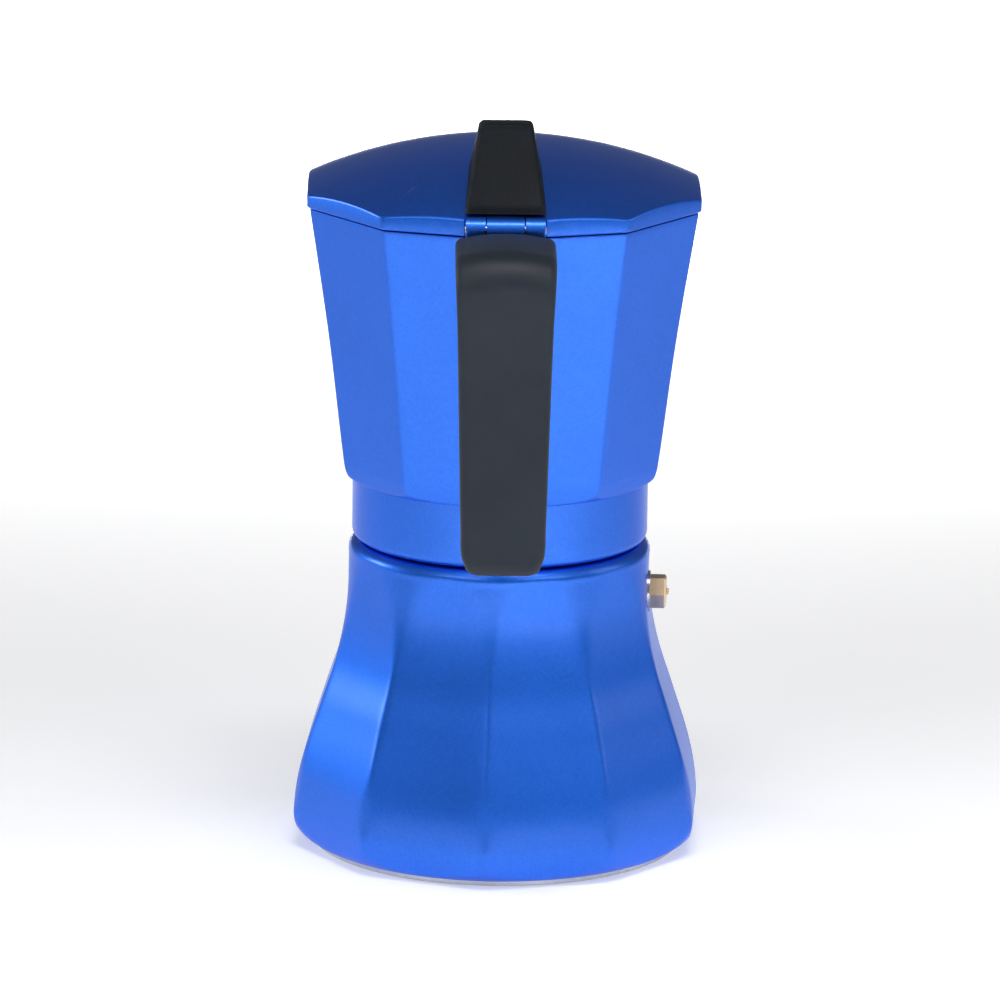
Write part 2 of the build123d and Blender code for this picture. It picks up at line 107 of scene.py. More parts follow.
def bend(a, b, radius, side, steps=10):
    """An arc from a to b; side 1 puts its centre on the left of the way from a to b."""
    ax, az = a
    bx, bz = b
    chord = math.hypot(bx - ax, bz - az)
    rise = math.sqrt(max(radius**2 - chord**2 / 4, 0.0)) * side
    cx = (ax + bx) / 2 - (bz - az) / chord * rise
    cz = (az + bz) / 2 + (bx - ax) / chord * rise
    start = math.atan2(az - cz, ax - cx)
    sweep = (math.atan2(bz - cz, bx - cx) - start + math.pi) % (2 * math.pi) - math.pi
    return [(cx + radius * math.cos(start + sweep * i / steps),
             cz + radius * math.sin(start + sweep * i / steps)) for i in range(steps + 1)]


def flow_line(curve, low, high, steps):
    return [(curve(low + (high - low) * i / steps), low + (high - low) * i / steps) for i in range(steps + 1)]


def joined(*runs):
    path = []
    for run in runs:
        for point in run:
            if not path or math.dist(path[-1], point) > 0.02:
                path.append(point)
    return path


# ---------------------------------------------------------------- mesh helpers
def round_angles():
    """Angles round the pot: close together at the ten corners, and at the spout."""
    offsets = (-18, -17.6, -17.2, -16.7, -16, -15, -13, -10, -6, -2, 2, 6, 10, 13, 15, 16, 16.7, 17.2, 17.6)
    spout = range(64, 117)
    angles = {round(SIDE_ANGLE * k + o, 2) % 360 for k in range(SIDES) for o in offsets}
    angles |= {float(a) for a in spout}
    return sorted(angles)


ROUND = round_angles()


def from_facet(angle):
    """Degrees from the middle of the nearest of the ten facets."""
    return (angle + SIDE_ANGLE / 2) % SIDE_ANGLE - SIDE_ANGLE / 2


def ten_sided(flat, corner, angle, blend=0.5):
    return soft_min(corner, flat / math.cos(math.radians(from_facet(angle))), blend)


def skin_rings(bm, rings):
    """Joins rings of points with quads; a ring of one point closes that end."""
    made = [[bm.verts.new(Vector(p) * MM) for p in ring] for ring in rings]
    for a, b in zip(made, made[1:]):
        count = max(len(a), len(b))
        for i in range(count):
            k = (i + 1) % count
            corners = [a[i % len(a)], a[k % len(a)], b[k % len(b)], b[i % len(b)]]
            unique = list(dict.fromkeys(corners))
            if len(unique) > 2:
                bm.faces.new(unique)
    return made


def ring_through(place, turn=0.0):
    """A ring round the pot; place gives the radius and the height at each angle."""
    ring = []
    for angle in ROUND:
        radius, z = place(angle)
        a = math.radians(angle + turn)
        ring.append((radius * math.cos(a), radius * math.sin(a), z))
    return ring


def ring_at(radius_of, z, turn=0.0):
    """A level ring round the pot."""
    return ring_through(lambda angle: (radius_of(angle), z), turn)


def prism(bm, outline, low_x, high_x, soften=0.0):
    """A flat (y, z) outline pulled out along x."""
    ends = [[bm.verts.new(Vector((x, y, z)) * MM) for y, z in outline] for x in (low_x, high_x)]
    faces = [bm.faces.new(ends[0]), bm.faces.new(list(reversed(ends[1])))]
    for i in range(len(outline)):
        k = (i + 1) % len(outline)
        faces.append(bm.faces.new([ends[0][i], ends[1][i], ends[1][k], ends[0][k]]))
    if soften:
        edges = list({e for f in faces[:2] for e in f.edges})
        bmesh.ops.bevel(bm, geom=edges, offset=soften * MM, segments=3, affect="EDGES", profile=0.6)


def thread(bm, root, crest, low_z, high_z, pitch=3.0, turn=0.0):
    """One helical ridge with a flat crest, which runs out at both ends."""
    steps_a_turn = 90
    run_out = 14
    sunk = 0.25 if crest > root else -0.25
    base = root - sunk
    section = ((base, -0.95), (crest, -0.38), (crest, 0.38), (base, 0.95))
    steps = int((high_z - low_z) / pitch * steps_a_turn)
    rings = []
    for i in range(steps + 1):
        share = min(1.0, i / run_out, (steps - i) / run_out)
        a = math.radians(360 / steps_a_turn * i + turn)
        z = low_z + (high_z - low_z) * i / steps
        ring = []
        for r, dz in section:
            reach = base + (r - root + sunk) * share
            ring.append((reach * math.cos(a), reach * math.sin(a), z + dz))
        rings.append(ring)
    skin_rings(bm, rings)


def disc_points(centre_y, centre_z, radius, start=0.0, stop=360.0, steps=40):
    return [(centre_y + radius * math.cos(math.radians(start + (stop - start) * i / steps)),
             centre_z + radius * math.sin(math.radians(start + (stop - start) * i / steps)))
            for i in range(steps + 1)]


def mesh_object(name, bm):
    bmesh.ops.remove_doubles(bm, verts=bm.verts, dist=2e-7)
    bmesh.ops.recalc_face_normals(bm, faces=bm.faces)
    mesh = bpy.data.meshes.new(name)
    bm.to_mesh(mesh)
    bm.free()
    obj = bpy.data.objects.new(name, mesh)
    bpy.context.scene.collection.objects.link(obj)
    return obj


def discard(obj):
    mesh = obj.data
    bpy.data.objects.remove(obj)
    bpy.data.meshes.remove(mesh)


def carve(obj, fill_cutter):
    """Cuts away from obj what fill_cutter puts in a scratch mesh."""
    bm = bmesh.new()
    fill_cutter(bm)
    tool = mesh_object("scratch_cutter", bm)
    cut = obj.modifiers.new("cut", "BOOLEAN")
    cut.operation = "DIFFERENCE"
    cut.solver = "EXACT"
    cut.object = tool
    seen = obj.evaluated_get(bpy.context.evaluated_depsgraph_get())
    carved = bpy.data.meshes.new_from_object(seen)
    obj.modifiers.clear()
    spare = obj.data
    obj.data = carved
    bpy.data.meshes.remove(spare)
    discard(tool)


def add_to(obj, fill):
    """Adds to obj's mesh what fill puts in it."""
    bm = bmesh.new()
    bm.from_mesh(obj.data)
    fill(bm)
    bmesh.ops.recalc_face_normals(bm, faces=bm.faces)
    bm.to_mesh(obj.data)
    bm.free()


def shade(obj, crease=32):
    """Smooth shading, with real creases kept sharp."""
    bm = bmesh.new()
    bm.from_mesh(obj.data)
    for face in bm.faces:
        face.smooth = True
    for edge in bm.edges:
        edge.smooth = not (edge.is_manifold and edge.calc_face_angle(0) > math.radians(crease))
    bm.to_mesh(obj.data)
    bm.free()


def finish_piece(obj, body, node, material, crease=32):
    shade(obj, crease)
    obj.data.materials.clear()
    obj.data.materials.append(material)
    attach(obj, body)
    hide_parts(node)


def cylinder_cutter(bm, radius, length, place):
    bmesh.ops.create_cone(bm, cap_ends=True, segments=64, radius1=radius * MM, radius2=radius * MM,
                          depth=length * MM, matrix=place)


# ---------------------------------------------------------------- boiler
# (corner radius, z) points of the wall's section
FOOT = (49.3, 1.5)
BELLY = (54.95, 10)
SHOULDER = (39.55, 77.6)
SEAT = (36.9, 81.3)  # the upper chamber's collar comes down here
NECK_BORE = (30.5, 79.5)
INNER_SHOULDER = (36.0, 72)
INNER_BELLY = (48.6, 12)
FLOOR_EDGE = (42.0, 5.2)
NECK_RADIUS = 33.4
NECK_TOP_Z = 91.5
DISC_ROOM_Z = 2.4  # roof of the recess for the base disc
VALVE_Z = 67.5
VALVE_SEAT = 39.0  # distance of the washer's flat seat from the pot's axis

boiler_corner = flowing([BELLY, (52.2, 25.6), (48.0, 38.4), (43.75, 51.2), (40.8, 64), SHOULDER])
boiler_flat = flowing([(50.2, 0), (51.9, 5), (52.4, 11), (50.95, 21.4), (45.85, 38.4), (41.75, 51.2),
                       (39.4, 64), (39.15, 74), (39.9, 82)])
boiler_inner = flowing([INNER_BELLY, (47.4, 21.4), (42.6, 38.4), (38.6, 51.2), (36.2, 64), INNER_SHOULDER])


def boiler_section():
    """From the middle of the underside, up the outside and the neck, and down to the middle of the floor."""
    neck_edge = [(NECK_RADIUS, 91.0), (32.9, NECK_TOP_Z), (31.0, NECK_TOP_Z), (NECK_BORE[0], 91.1)]
    return joined(
        [(0, DISC_ROOM_Z), (48.6, DISC_ROOM_Z), (48.75, 2.3), (48.75, FOOT[1]), FOOT],
        bend(FOOT, BELLY, 8.6, 1, 14),
        flow_line(boiler_corner, BELLY[1], SHOULDER[1], 60),
        bend(SHOULDER, SEAT, 3.2, 1, 12),
        [SEAT, (NECK_RADIUS, SEAT[1])],
        neck_edge,
        bend(NECK_BORE, INNER_SHOULDER, 7.5, -1),
        list(reversed(flow_line(boiler_inner, INNER_BELLY[1], INNER_SHOULDER[1], 24))),
        bend(INNER_BELLY, FLOOR_EDGE, 7.0, -1),
        [(0, FLOOR_EDGE[1])],
    )


def valve_seat_and_hole(cutter):
    aim = Matrix.Rotation(math.radians(BOILER_TURN), 4, "Z") @ Matrix.Rotation(math.pi / 2, 4, "Y")
    lift = Matrix.Translation(Vector((0, 0, VALVE_Z)) * MM)
    for radius, near, far in ((6.0, VALVE_SEAT, 44.0), (3.55, 34.0, 45.0)):
        middle = Matrix.Translation(Vector((0, 0, (near + far) / 2)) * MM)
        cylinder_cutter(cutter, radius, far - near, lift @ aim @ middle)


def boiler_piece(material):
    bm = bmesh.new()
    rings = []
    for radius, z in boiler_section():
        if radius == 0:
            rings.append([(0, 0, z)])
        else:
            rings.append(ring_at(lambda a: ten_sided(boiler_flat(z), radius, a, 0.4), z, BOILER_TURN))
    skin_rings(bm, rings)
    piece = mesh_object("boiler_shell", bm)
    carve(piece, valve_seat_and_hole)

    def neck_thread(bm):
        thread(bm, root=NECK_RADIUS, crest=34.3, low_z=83.4, high_z=89.8, turn=BOILER_TURN)

    add_to(piece, neck_thread)
    finish_piece(piece, "boiler", "boiler", material)


# ---------------------------------------------------------------- upper chamber
# (radius, z) points of the wall's section
COLLAR_UNDER = (36.85, 81.7)
COLLAR_FOOT = (38.65, 84.1)
COLLAR_TOP = (38.65, 98.4)
CHAMBER_FOOT = (43.0, 103.8)
CHAMBER_RIM = (52.7, RIM_Z)
CHAMBER_BORE = 35.4  # the thread's root
CHAMBER_FLOOR_Z = 102.6
FACETS_START_Z = 97.6
PLAIN_ROUND = 90.0  # a facet distance so far out that the ring stays round
COLUMN_TOP_Z = 159
COLUMN_BORE_TOP_Z = 154.5
SPOUT_REACH = 55  # degrees each side of the spout's middle
# bottom and top of the pointed spout: (z, half width, root, tip)
SPOUT_OUTSIDE = ((137.0, 1.4, 44.5, 47.0), (RIM_Z, 14.0, 46.0, 64.9))
SPOUT_INSIDE = ((141.0, 0.9, 43.0, 45.6), (RIM_Z, 11.6, 44.5, 61.6))

chamber_corner = flowing([CHAMBER_FOOT, (47.35, 137.5), CHAMBER_RIM])
chamber_flat = flowing([(38.9, FACETS_START_Z), (39.9, 100.3), (40.85, 104), (45.0, 137.5), (50.12, RIM_Z),
                        (50.9, 176)])
inner_corner = flowing([(40.2, CHAMBER_FLOOR_Z), (50.4, 172.4)])


def wedge_radius(angle, z, low, high):
    """Distance of the pointed spout's face; low and high are (z, half width, root, tip)."""
    off = abs((angle - 90 + 180) % 360 - 180)
    if z < low[0] or off > SPOUT_REACH:
        return 0.0
    share = (z - low[0]) / (high[0] - low[0])
    half, root, tip = (low[i] + (high[i] - low[i]) * share for i in (1, 2, 3))
    slope = (tip - root) / half
    off = math.radians(off)
    return tip / (math.cos(off) + slope * math.sin(off))


def with_spout(body, spout, blend=1.2):
    return soft_max(body, spout, blend) if spout > 0 else body


def chamber_outside(angle, radius, z):
    flat = chamber_flat(z) if z > FACETS_START_Z else PLAIN_ROUND
    return with_spout(ten_sided(flat, radius, angle, 0.45), wedge_radius(angle, z, *SPOUT_OUTSIDE))


def chamber_inside(angle, z):
    corner = inner_corner(z)
    body = ten_sided(corner * FLAT_SHARE, corner - 0.5, angle, 0.5)
    return with_spout(body, wedge_radius(angle, z, *SPOUT_INSIDE))


def ear_outline():
    web = [(-52.4, 165.5), (-49.4, 165.5)]
    crown = disc_points(HINGE_Y, HINGE_Z, 3.2, 0, 180, 24)
    return web + crown


def turned(path):
    """Plain round rings through (radius, z) points."""
    return [ring_at(lambda a: radius, z) for radius, z in path]


def chamber_rings():
    """From inside the coffee column, under the floor, up the outside, down the inside and up the column."""
    rings = [[(0, 0, COLUMN_BORE_TOP_Z)]]
    rings += turned([(3.6, COLUMN_BORE_TOP_Z), (4.0, 99.6), (30, 96.8), (33.6, 96.8), (33.6, 92.2),
                     (CHAMBER_BORE, 91.6), (CHAMBER_BORE, 81.9), (35.6, COLLAR_UNDER[1])])
    outside = joined(
        [(36.4, COLLAR_UNDER[1])],
        bend(COLLAR_UNDER, COLLAR_FOOT, 2.4, 1),
        straight(COLLAR_FOOT, COLLAR_TOP, 4),
        bend(COLLAR_TOP, CHAMBER_FOOT, 5.2, 1, 14),
        flow_line(chamber_corner, CHAMBER_FOOT[1], RIM_Z - 0.5, 44),
    )
    for radius, z in outside:
        rings.append(ring_at(lambda a: chamber_outside(a, radius, z), z))
    # the rim's two softened edges
    for inset, z in ((0.12, RIM_Z - 0.14), (0.5, RIM_Z)):
        rings.append(ring_at(lambda a: chamber_outside(a, chamber_corner(z), z) - inset, z))
    for inset, z in ((-0.4, RIM_Z), (0, RIM_Z - 0.4)):
        rings.append(ring_at(lambda a: chamber_inside(a, z) - inset, z))
    wall_foot_z = 105.1
    for i in range(1, 31):
        z = RIM_Z - 0.4 + (wall_foot_z - RIM_Z) * i / 30
        rings.append(ring_at(lambda a: chamber_inside(a, z), z))
    for inset, z in ((0.2, 103.8), (0.9, 103.0), (2.4, CHAMBER_FLOOR_Z)):
        rings.append(ring_at(lambda a: chamber_inside(a, z) - inset, z))
    rings += turned([(14, CHAMBER_FLOOR_Z), (10.6, 102.8), (9.3, 104.4), (8.5, 107)])
    rings += turned(straight((8.45, 108), (6.6, 155), 20))
    rings += turned([(6.2, 156.8), (5.0, 158.1), (2.6, 158.8)])
    rings.append([(0, 0, COLUMN_TOP_Z)])
    return rings


def column_outlets(cutter):
    """One slot across the column, which leaves an outlet on each side."""
    place = Matrix.Translation(Vector((0, 0, 151.5)) * MM)
    size = Matrix.Diagonal((20 * MM, 4.6 * MM, 5 * MM, 1))
    bmesh.ops.create_cube(cutter, size=1.0, matrix=place @ size)


def chamber_piece(material):
    bm = bmesh.new()
    skin_rings(bm, chamber_rings())
    piece = mesh_object("chamber_shell", bm)
    carve(piece, column_outlets)

    def thread_and_ears(bm):
        thread(bm, root=CHAMBER_BORE, crest=34.55, low_z=84.0, high_z=89.6)
        for low_x, high_x in ((5.1, 10.1), (-10.1, -5.1)):
            prism(bm, ear_outline(), low_x, high_x, 0.45)

    add_to(piece, thread_and_ears)
    finish_piece(piece, "upper", "upper_chamber", material)


# ---------------------------------------------------------------- lid
LID_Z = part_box("lid")[0].z / MM + 2.0  # underside of the skirt; the locating lip hangs 2 mm lower
LID_CORNER = 53.5
LID_WALL = 2.0
DOME_RADIUS = 126.2
DOME_TOP_Z = 186.9
BEAK = (12.5, 50.2, 63.4)  # half width, root and tip of the beak over the spout
BEAK_TOP_Z = 175.3
HINGE_ROOM = 3.75
KNUCKLE_RADIUS = 3.0
KNUCKLE_ROOT_Y = -47.2
PIN_HOLE = 1.32
LEVER_SCREWS_Y = (-42.0, -31.0)


def dome_height(distance, drop=0.0):
    radius = DOME_RADIUS - drop
    return DOME_TOP_Z - DOME_RADIUS + math.sqrt(radius**2 - distance**2)


def dome_point(distance, drop=0.0):
    return distance, dome_height(distance, drop)


def lid_edge(angle, shrink=0.0):
    corner = LID_CORNER - shrink
    return ten_sided(corner * FLAT_SHARE, corner - 0.15, angle, 0.4)


def beak_edge(angle):
    return with_spout(lid_edge(angle), wedge_radius(angle, 1.0, (0.0, *BEAK), (1.0, *BEAK)), 0.8)


def beak_share(angle):
    """0 along the skirt, rising to 1 out on the beak."""
    return min((beak_edge(angle) - lid_edge(angle)) / 2.0, 1.0)


def edge_height(angle):
    share = beak_share(angle)
    return dome_height(lid_edge(angle)) * (1 - share) + BEAK_TOP_Z * share


def lid_rings():
    """From the top of the dome, over the edge, under the skirt and back up inside."""
    rings = [[(0, 0, DOME_TOP_Z)]]
    for i in range(1, 31):
        rings.append(ring_through(lambda a: dome_point(lid_edge(a, 0.9) * i / 30)))
    edge = (
        lambda a: (lid_edge(a, 0.35), dome_height(lid_edge(a, 0.35)) - 0.02),
        lambda a: (beak_edge(a) - 0.12 - 0.3 * beak_share(a), edge_height(a) - 0.1),
        lambda a: (beak_edge(a), edge_height(a) - 0.5),
        lambda a: (beak_edge(a), LID_Z + 0.35),
        lambda a: (beak_edge(a) - 0.35, LID_Z),
        lambda a: (lid_edge(a, 2.5), LID_Z),
        lambda a: (lid_edge(a, 2.9), LID_Z + 0.3),
        lambda a: (lid_edge(a, 3.1), dome_height(lid_edge(a, 3.1), LID_WALL) - 0.3),
    )
    rings += [ring_through(place) for place in edge]
    for i in range(1, 16):
        share = 1 - i / 16
        rings.append(ring_through(lambda a: dome_point(lid_edge(a, 3.6) * share, LID_WALL)))
    rings.append([(0, 0, DOME_TOP_Z - LID_WALL)])
    return rings


def hinge_room(cutter):
    """Room for the ears above, behind and below the hinge."""
    outline = [(HINGE_Y + HINGE_ROOM, 160)] + disc_points(HINGE_Y, HINGE_Z, HINGE_ROOM, 0, 90, 24)
    outline += [(HINGE_Y, 190), (-62, 190), (-62, 160)]
    prism(cutter, outline, -10.5, 10.5)


def pin_hole(cutter):
    place = Matrix.Translation(Vector((0, HINGE_Y, HINGE_Z)) * MM) @ Matrix.Rotation(math.pi / 2, 4, "Y")
    cylinder_cutter(cutter, PIN_HOLE, 30, place)


def lid_knuckle():
    bm = bmesh.new()
    outline = disc_points(HINGE_Y, HINGE_Z, KNUCKLE_RADIUS, 90, 332, 34)
    outline += [(KNUCKLE_ROOT_Y, HINGE_Z - 1.4), (KNUCKLE_ROOT_Y, 177.4), (-48.6, 177.2)]
    prism(bm, outline, -4.8, 4.8, 0.3)
    knuckle = mesh_object("lid_knuckle", bm)
    carve(knuckle, pin_hole)
    return knuckle


def locating_lip(bm, first, last, steps=66):
    """A lip under the skirt, between two angles."""
    rows = []
    for i in range(steps + 1):
        a = first + (last - first) * i / steps
        c, s = math.cos(math.radians(a)), math.sin(math.radians(a))
        out, inn = lid_edge(a, 3.9), lid_edge(a, 5.5)
        section = ((out, 3.0), (out, -1.6), (out - 0.4, -2.0), (inn + 0.3, -2.0), (inn, -1.7), (inn, 3.0))
        rows.append([(radius * c, radius * s, LID_Z + dz) for radius, dz in section])
    made = skin_rings(bm, rows)
    bm.faces.new(made[0])
    bm.faces.new(list(reversed(made[-1])))


def screw_pad(bm, y, steps=40):
    """A pad inside the dome, round one of the lever's screws."""
    high = dome_height(-y) - 1.0
    low = dome_height(-y) - LID_WALL - 2.4
    rings = []
    for radius, z in ((1.6, high), (4.4, high), (4.4, low + 0.3), (4.1, low), (1.6, low), (1.6, high)):
        turns = [math.radians(360 / steps * k) for k in range(steps)]
        rings.append([(radius * math.cos(a), y + radius * math.sin(a), z) for a in turns])
    skin_rings(bm, rings)


def lid_piece(material):
    bm = bmesh.new()
    skin_rings(bm, lid_rings())
    piece = mesh_object("domed_lid", bm)
    carve(piece, hinge_room)
    knuckle = lid_knuckle()

    def knuckle_lips_and_pads(bm):
        bm.from_mesh(knuckle.data)
        # the lip stops at the hinge and at the spout
        for first, last in ((-66, 66), (114, 246)):
            locating_lip(bm, first, last)
        for y in LEVER_SCREWS_Y:
            screw_pad(bm, y)

    add_to(piece, knuckle_lips_and_pads)
    discard(knuckle)
    finish_piece(piece, "lid", "lid", material)


# ---------------------------------------------------------------- thumb lever
def rounded_section(half_x, low_y, high_y, radius, steps=7):
    """Corner-rounded rectangle, as (x, y) points."""
    radius = min(radius, half_x * 0.95, (high_y - low_y) * 0.47)
    points = []
    for cx, cy, start in ((half_x - radius, high_y - radius, 0), (radius - half_x, high_y - radius, 90),
                          (radius - half_x, low_y + radius, 180), (half_x - radius, low_y + radius, 270)):
        for i in range(steps + 1):
            a = math.radians(start + 90 * i / steps)
            points.append((cx + radius * math.cos(a), cy + radius * math.sin(a)))
    return points


LEVER_TOP_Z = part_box("lid_lever")[1].z / MM
LEVER_FOOT_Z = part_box("lid_lever")[0].z / MM
LEVER_EDGE = 1.0  # rounding round the lever's top
lever_back = flowing([(-51.4, 177.9), (-50.6, 180.2), (-43.2, 188.6), (-35.5, LEVER_TOP_Z)])
lever_front = flowing([(-18.0, 177.9), (-21.0, 184), (-26.4, 190), (-29.5, LEVER_TOP_Z)])
lever_half = flowing([(10.3, 177.9), (10.15, 179.4), (8.6, 188.0), (6.8, LEVER_TOP_Z)])


def lever_rings():
    crest = LEVER_TOP_Z - LEVER_EDGE
    rings = []
    for i in range(41):
        z = LEVER_FOOT_Z + (crest - LEVER_FOOT_Z) * i / 40
        section = rounded_section(lever_half(z), lever_back(z), lever_front(z), 1.3)
        rings.append([(x, y, z) for x, y in section])
    for turn in (22, 45, 68, 90):
        inset = LEVER_EDGE - LEVER_EDGE * math.cos(math.radians(turn))
        z = crest + LEVER_EDGE * math.sin(math.radians(turn))
        section = rounded_section(lever_half(LEVER_TOP_Z) - inset, lever_back(crest) + inset,
                                  lever_front(crest) - inset, 1.2)
        rings.append([(x, y, z) for x, y in section])
    return rings


def on_dome(x, y, z):
    """Ends the lever just inside the dome, with its flanks still in line."""
    foot = max(z, dome_height(math.hypot(x, y)) - 0.25)
    return x * lever_half(foot) / lever_half(z), y, foot


def lever_piece(material):
    bm = bmesh.new()
    made = skin_rings(bm, [[on_dome(*point) for point in ring] for ring in lever_rings()])
    bm.faces.new(list(reversed(made[0])))
    bm.faces.new(made[-1])
    piece = mesh_object("thumb_lever", bm)
    finish_piece(piece, "lid", "lid_lever", material, 50)


# ---------------------------------------------------------------- handle
HANDLE_TOP_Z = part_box("handle")[1].z / MM
CROOK = 9.0  # radius of the top bend, outside and inside
ARM_ROOT_Y = -46.5
ARM_LENGTH = 22.0
ARM_UNDER_Z = 151.0
STRAP_BACK_Y = -86.0
STRAP_INNER_Y = -77.5
BEND_Z = HANDLE_TOP_Z - CROOK  # where the strap's back leaves the top bend
INNER_BEND_Z = ARM_UNDER_Z - CROOK
STRAP_END_Z = 95.4
ACROSS = 32  # steps across the strap's back
UNDER = 8  # steps across its inner side
CORNER = 9  # steps round each corner
CROWN_POWER = 2.4
strap_back = flowing([(-89.9, 94.5), (-86.8, 130.0), (STRAP_BACK_Y, BEND_Z)])
strap_inner = flowing([(-83.3, 93.5), (-78.7, 116.0), (STRAP_INNER_Y, INNER_BEND_Z)])
strap_half = flowing([(8.4, 93.2), (10.4, 97.6), (10.75, 104.0), (12.1, 156.0), (12.75, 170.0),
                      (12.8, 176.0)])


def handle_stations():
    """Pairs of (y, z) points on the back and on the inner side, from the chamber to the foot."""
    pairs = []
    for i in range(12):
        y = ARM_ROOT_Y - ARM_LENGTH * i / 11
        pairs.append(((y, HANDLE_TOP_Z), (y, ARM_UNDER_Z)))
    bend_start = (STRAP_BACK_Y + CROOK, HANDLE_TOP_Z)
    outer = joined(straight((-69.5, HANDLE_TOP_Z), bend_start, 6),
                   bend(bend_start, (STRAP_BACK_Y, BEND_Z), CROOK, 1, 20),
                   flow_line(strap_back, BEND_Z, INNER_BEND_Z, 24))
    inner = bend((STRAP_INNER_Y + CROOK, ARM_UNDER_Z), (STRAP_INNER_Y, INNER_BEND_Z), CROOK, 1,
                 len(outer) - 1)
    pairs += list(zip(outer, inner))
    steps = 60
    for i in range(1, steps + 1):
        z = INNER_BEND_Z - (INNER_BEND_Z - STRAP_END_Z) * i / steps
        pairs.append(((strap_back(z), z), (strap_inner(z), z - 1.0 * i / steps)))
    return pairs


def handle_section(back, front, half):
    """Points round one cross-section: a strap with full, soft corners, crowned across its top."""
    back, front = Vector(back), Vector(front)
    thick = (front - back).length
    inward = (front - back) / thick
    soft = min(2.3, thick * 0.42)
    flat = half - soft
    crown = 0.3 + 1.5 * soft_step(back[1], 158.0, 172.0)
    shoulder = crown * (flat / half) ** CROWN_POWER
    quarter = [math.radians(90 * i / CORNER) for i in range(1, CORNER)]
    points = []
    for i in range(ACROSS + 1):
        x = flat * (1 - 2 * i / ACROSS)
        points.append((x, crown * abs(x / half) ** CROWN_POWER))
    points += [(-flat - soft * math.sin(a), shoulder + soft * (1 - math.cos(a))) for a in quarter]
    points.append((-half, thick * 0.5))
    points += [(-flat - soft * math.cos(a), thick - soft * (1 - math.sin(a))) for a in quarter]
    points += [(flat * (2 * i / UNDER - 1), thick) for i in range(UNDER + 1)]
    points += [(flat + soft * math.sin(a), thick - soft * (1 - math.cos(a))) for a in quarter]
    points.append((half, thick * 0.5))
    points += [(flat + soft * math.cos(a), shoulder + soft * (1 - math.sin(a))) for a in quarter]
    ring = []
    for x, depth in points:
        y, z = back + inward * depth
        # the arm narrows towards its underside as the strap does
        taper = strap_half(z) / strap_half(back[1]) if back[1] > 140 else 1.0
        ring.append((x * taper, y, z))
    return ring


def foot_sections(back, front):
    """Sections that shrink round the strap's lower end."""
    end_half = strap_half(back[1])
    back, front = Vector(back), Vector(front)
    middle = (back + front) / 2
    sections = []
    steps = 7
    for k in range(1, steps + 1):
        a = math.radians(90 * k / steps)
        shrink = 1 - math.cos(a)
        down = Vector((0.1, -2.4 * math.sin(a)))
        half = end_half - 3.4 * shrink
        sections.append(handle_section(back.lerp(middle, 0.62 * shrink) + down,
                                       front.lerp(middle, 0.62 * shrink) + down, half))
    return sections


def ear_and_screw_rooms(cutter):
    outline = [(-40, 163), (-54.2, 163), (-56.8, 171.5), (-56.8, 178), (-40, 178)]
    prism(cutter, outline, -14, 14)
    place = Matrix.Translation(Vector((0, -61.5, 151.6)) * MM)
    cylinder_cutter(cutter, 3.1, 3.2, place)


def handle_piece(material):
    stations = handle_stations()
    rings = [handle_section(back, front, strap_half(back[1])) for back, front in stations]
    # the end against the chamber follows its corner, and the next sections make room for it
    rings[0] = [(x, 0.32 * abs(x) - chamber_corner(min(z, RIM_Z)) + 0.5, z) for x, y, z in rings[0]]
    for k in range(1, 4):
        rings[k] = [(x, y - 1.5 if y > -50 else y, z) for x, y, z in rings[k]]
    rings += foot_sections(*stations[-1])
    bm = bmesh.new()
    made = skin_rings(bm, rings)
    bm.faces.new(list(reversed(made[0])))
    bm.faces.new(made[-1])
    piece = mesh_object("strap_handle", bm)
    carve(piece, ear_and_screw_rooms)
    finish_piece(piece, "upper", "handle", material, 40)


# ---------------------------------------------------------------- material helpers
def new_node(tree, kind, x=0, y=0, **settings):
    node = tree.nodes.new(kind)
    node.location = (x, y)
    for key, value in settings.items():
        setattr(node, key, value)
    return node


def wire(tree, *pairs):
    for source, target in pairs:
        tree.links.new(source, target)


def effect_group(name, inputs, outputs):
    tree = bpy.data.node_groups.new(name, "ShaderNodeTree")
    for label, value in inputs:
        socket = tree.interface.new_socket(label, in_out="INPUT", socket_type="NodeSocketFloat")
        socket.default_value = value
    for label, kind in outputs:
        tree.interface.new_socket(label, in_out="OUTPUT", socket_type=kind)
    return tree, new_node(tree, "NodeGroupInput", -900), new_node(tree, "NodeGroupOutput", 700)


def math_node(tree, operation, x, y, *values):
    node = new_node(tree, "ShaderNodeMath", x, y, operation=operation)
    for i, value in enumerate(values):
        if isinstance(value, (int, float)):
            node.inputs[i].default_value = value
        else:
            tree.links.new(value, node.inputs[i])
    return node.outputs[0]


def speckle_group():
    """Fine grain: random cells over soft noise, 0 to 1."""
    tree, given, made = effect_group("Speckle", [("Scale", 2500.0), ("Softness", 0.5)],
                                     [("Value", "NodeSocketFloat")])
    place = new_node(tree, "ShaderNodeTexCoord", -700, 200)
    cells = new_node(tree, "ShaderNodeTexVoronoi", -450, 200)
    haze = new_node(tree, "ShaderNodeTexNoise", -450, -100)
    haze.inputs["Detail"].default_value = 3
    half = math_node(tree, "MULTIPLY", -650, -200, given.outputs["Scale"], 0.45)
    wire(tree, (place.outputs["Object"], cells.inputs["Vector"]),
         (place.outputs["Object"], haze.inputs["Vector"]),
         (given.outputs["Scale"], cells.inputs["Scale"]), (half, haze.inputs["Scale"]))
    grey = new_node(tree, "ShaderNodeSeparateColor", -200, 200)
    wire(tree, (cells.outputs["Color"], grey.inputs[0]))
    mix = new_node(tree, "ShaderNodeMix", 100, 100, data_type="FLOAT")
    wire(tree, (given.outputs["Softness"], mix.inputs["Factor"]), (grey.outputs[0], mix.inputs["A"]),
         (haze.outputs["Fac"], mix.inputs["B"]), (mix.outputs["Result"], made.inputs["Value"]))
    return tree


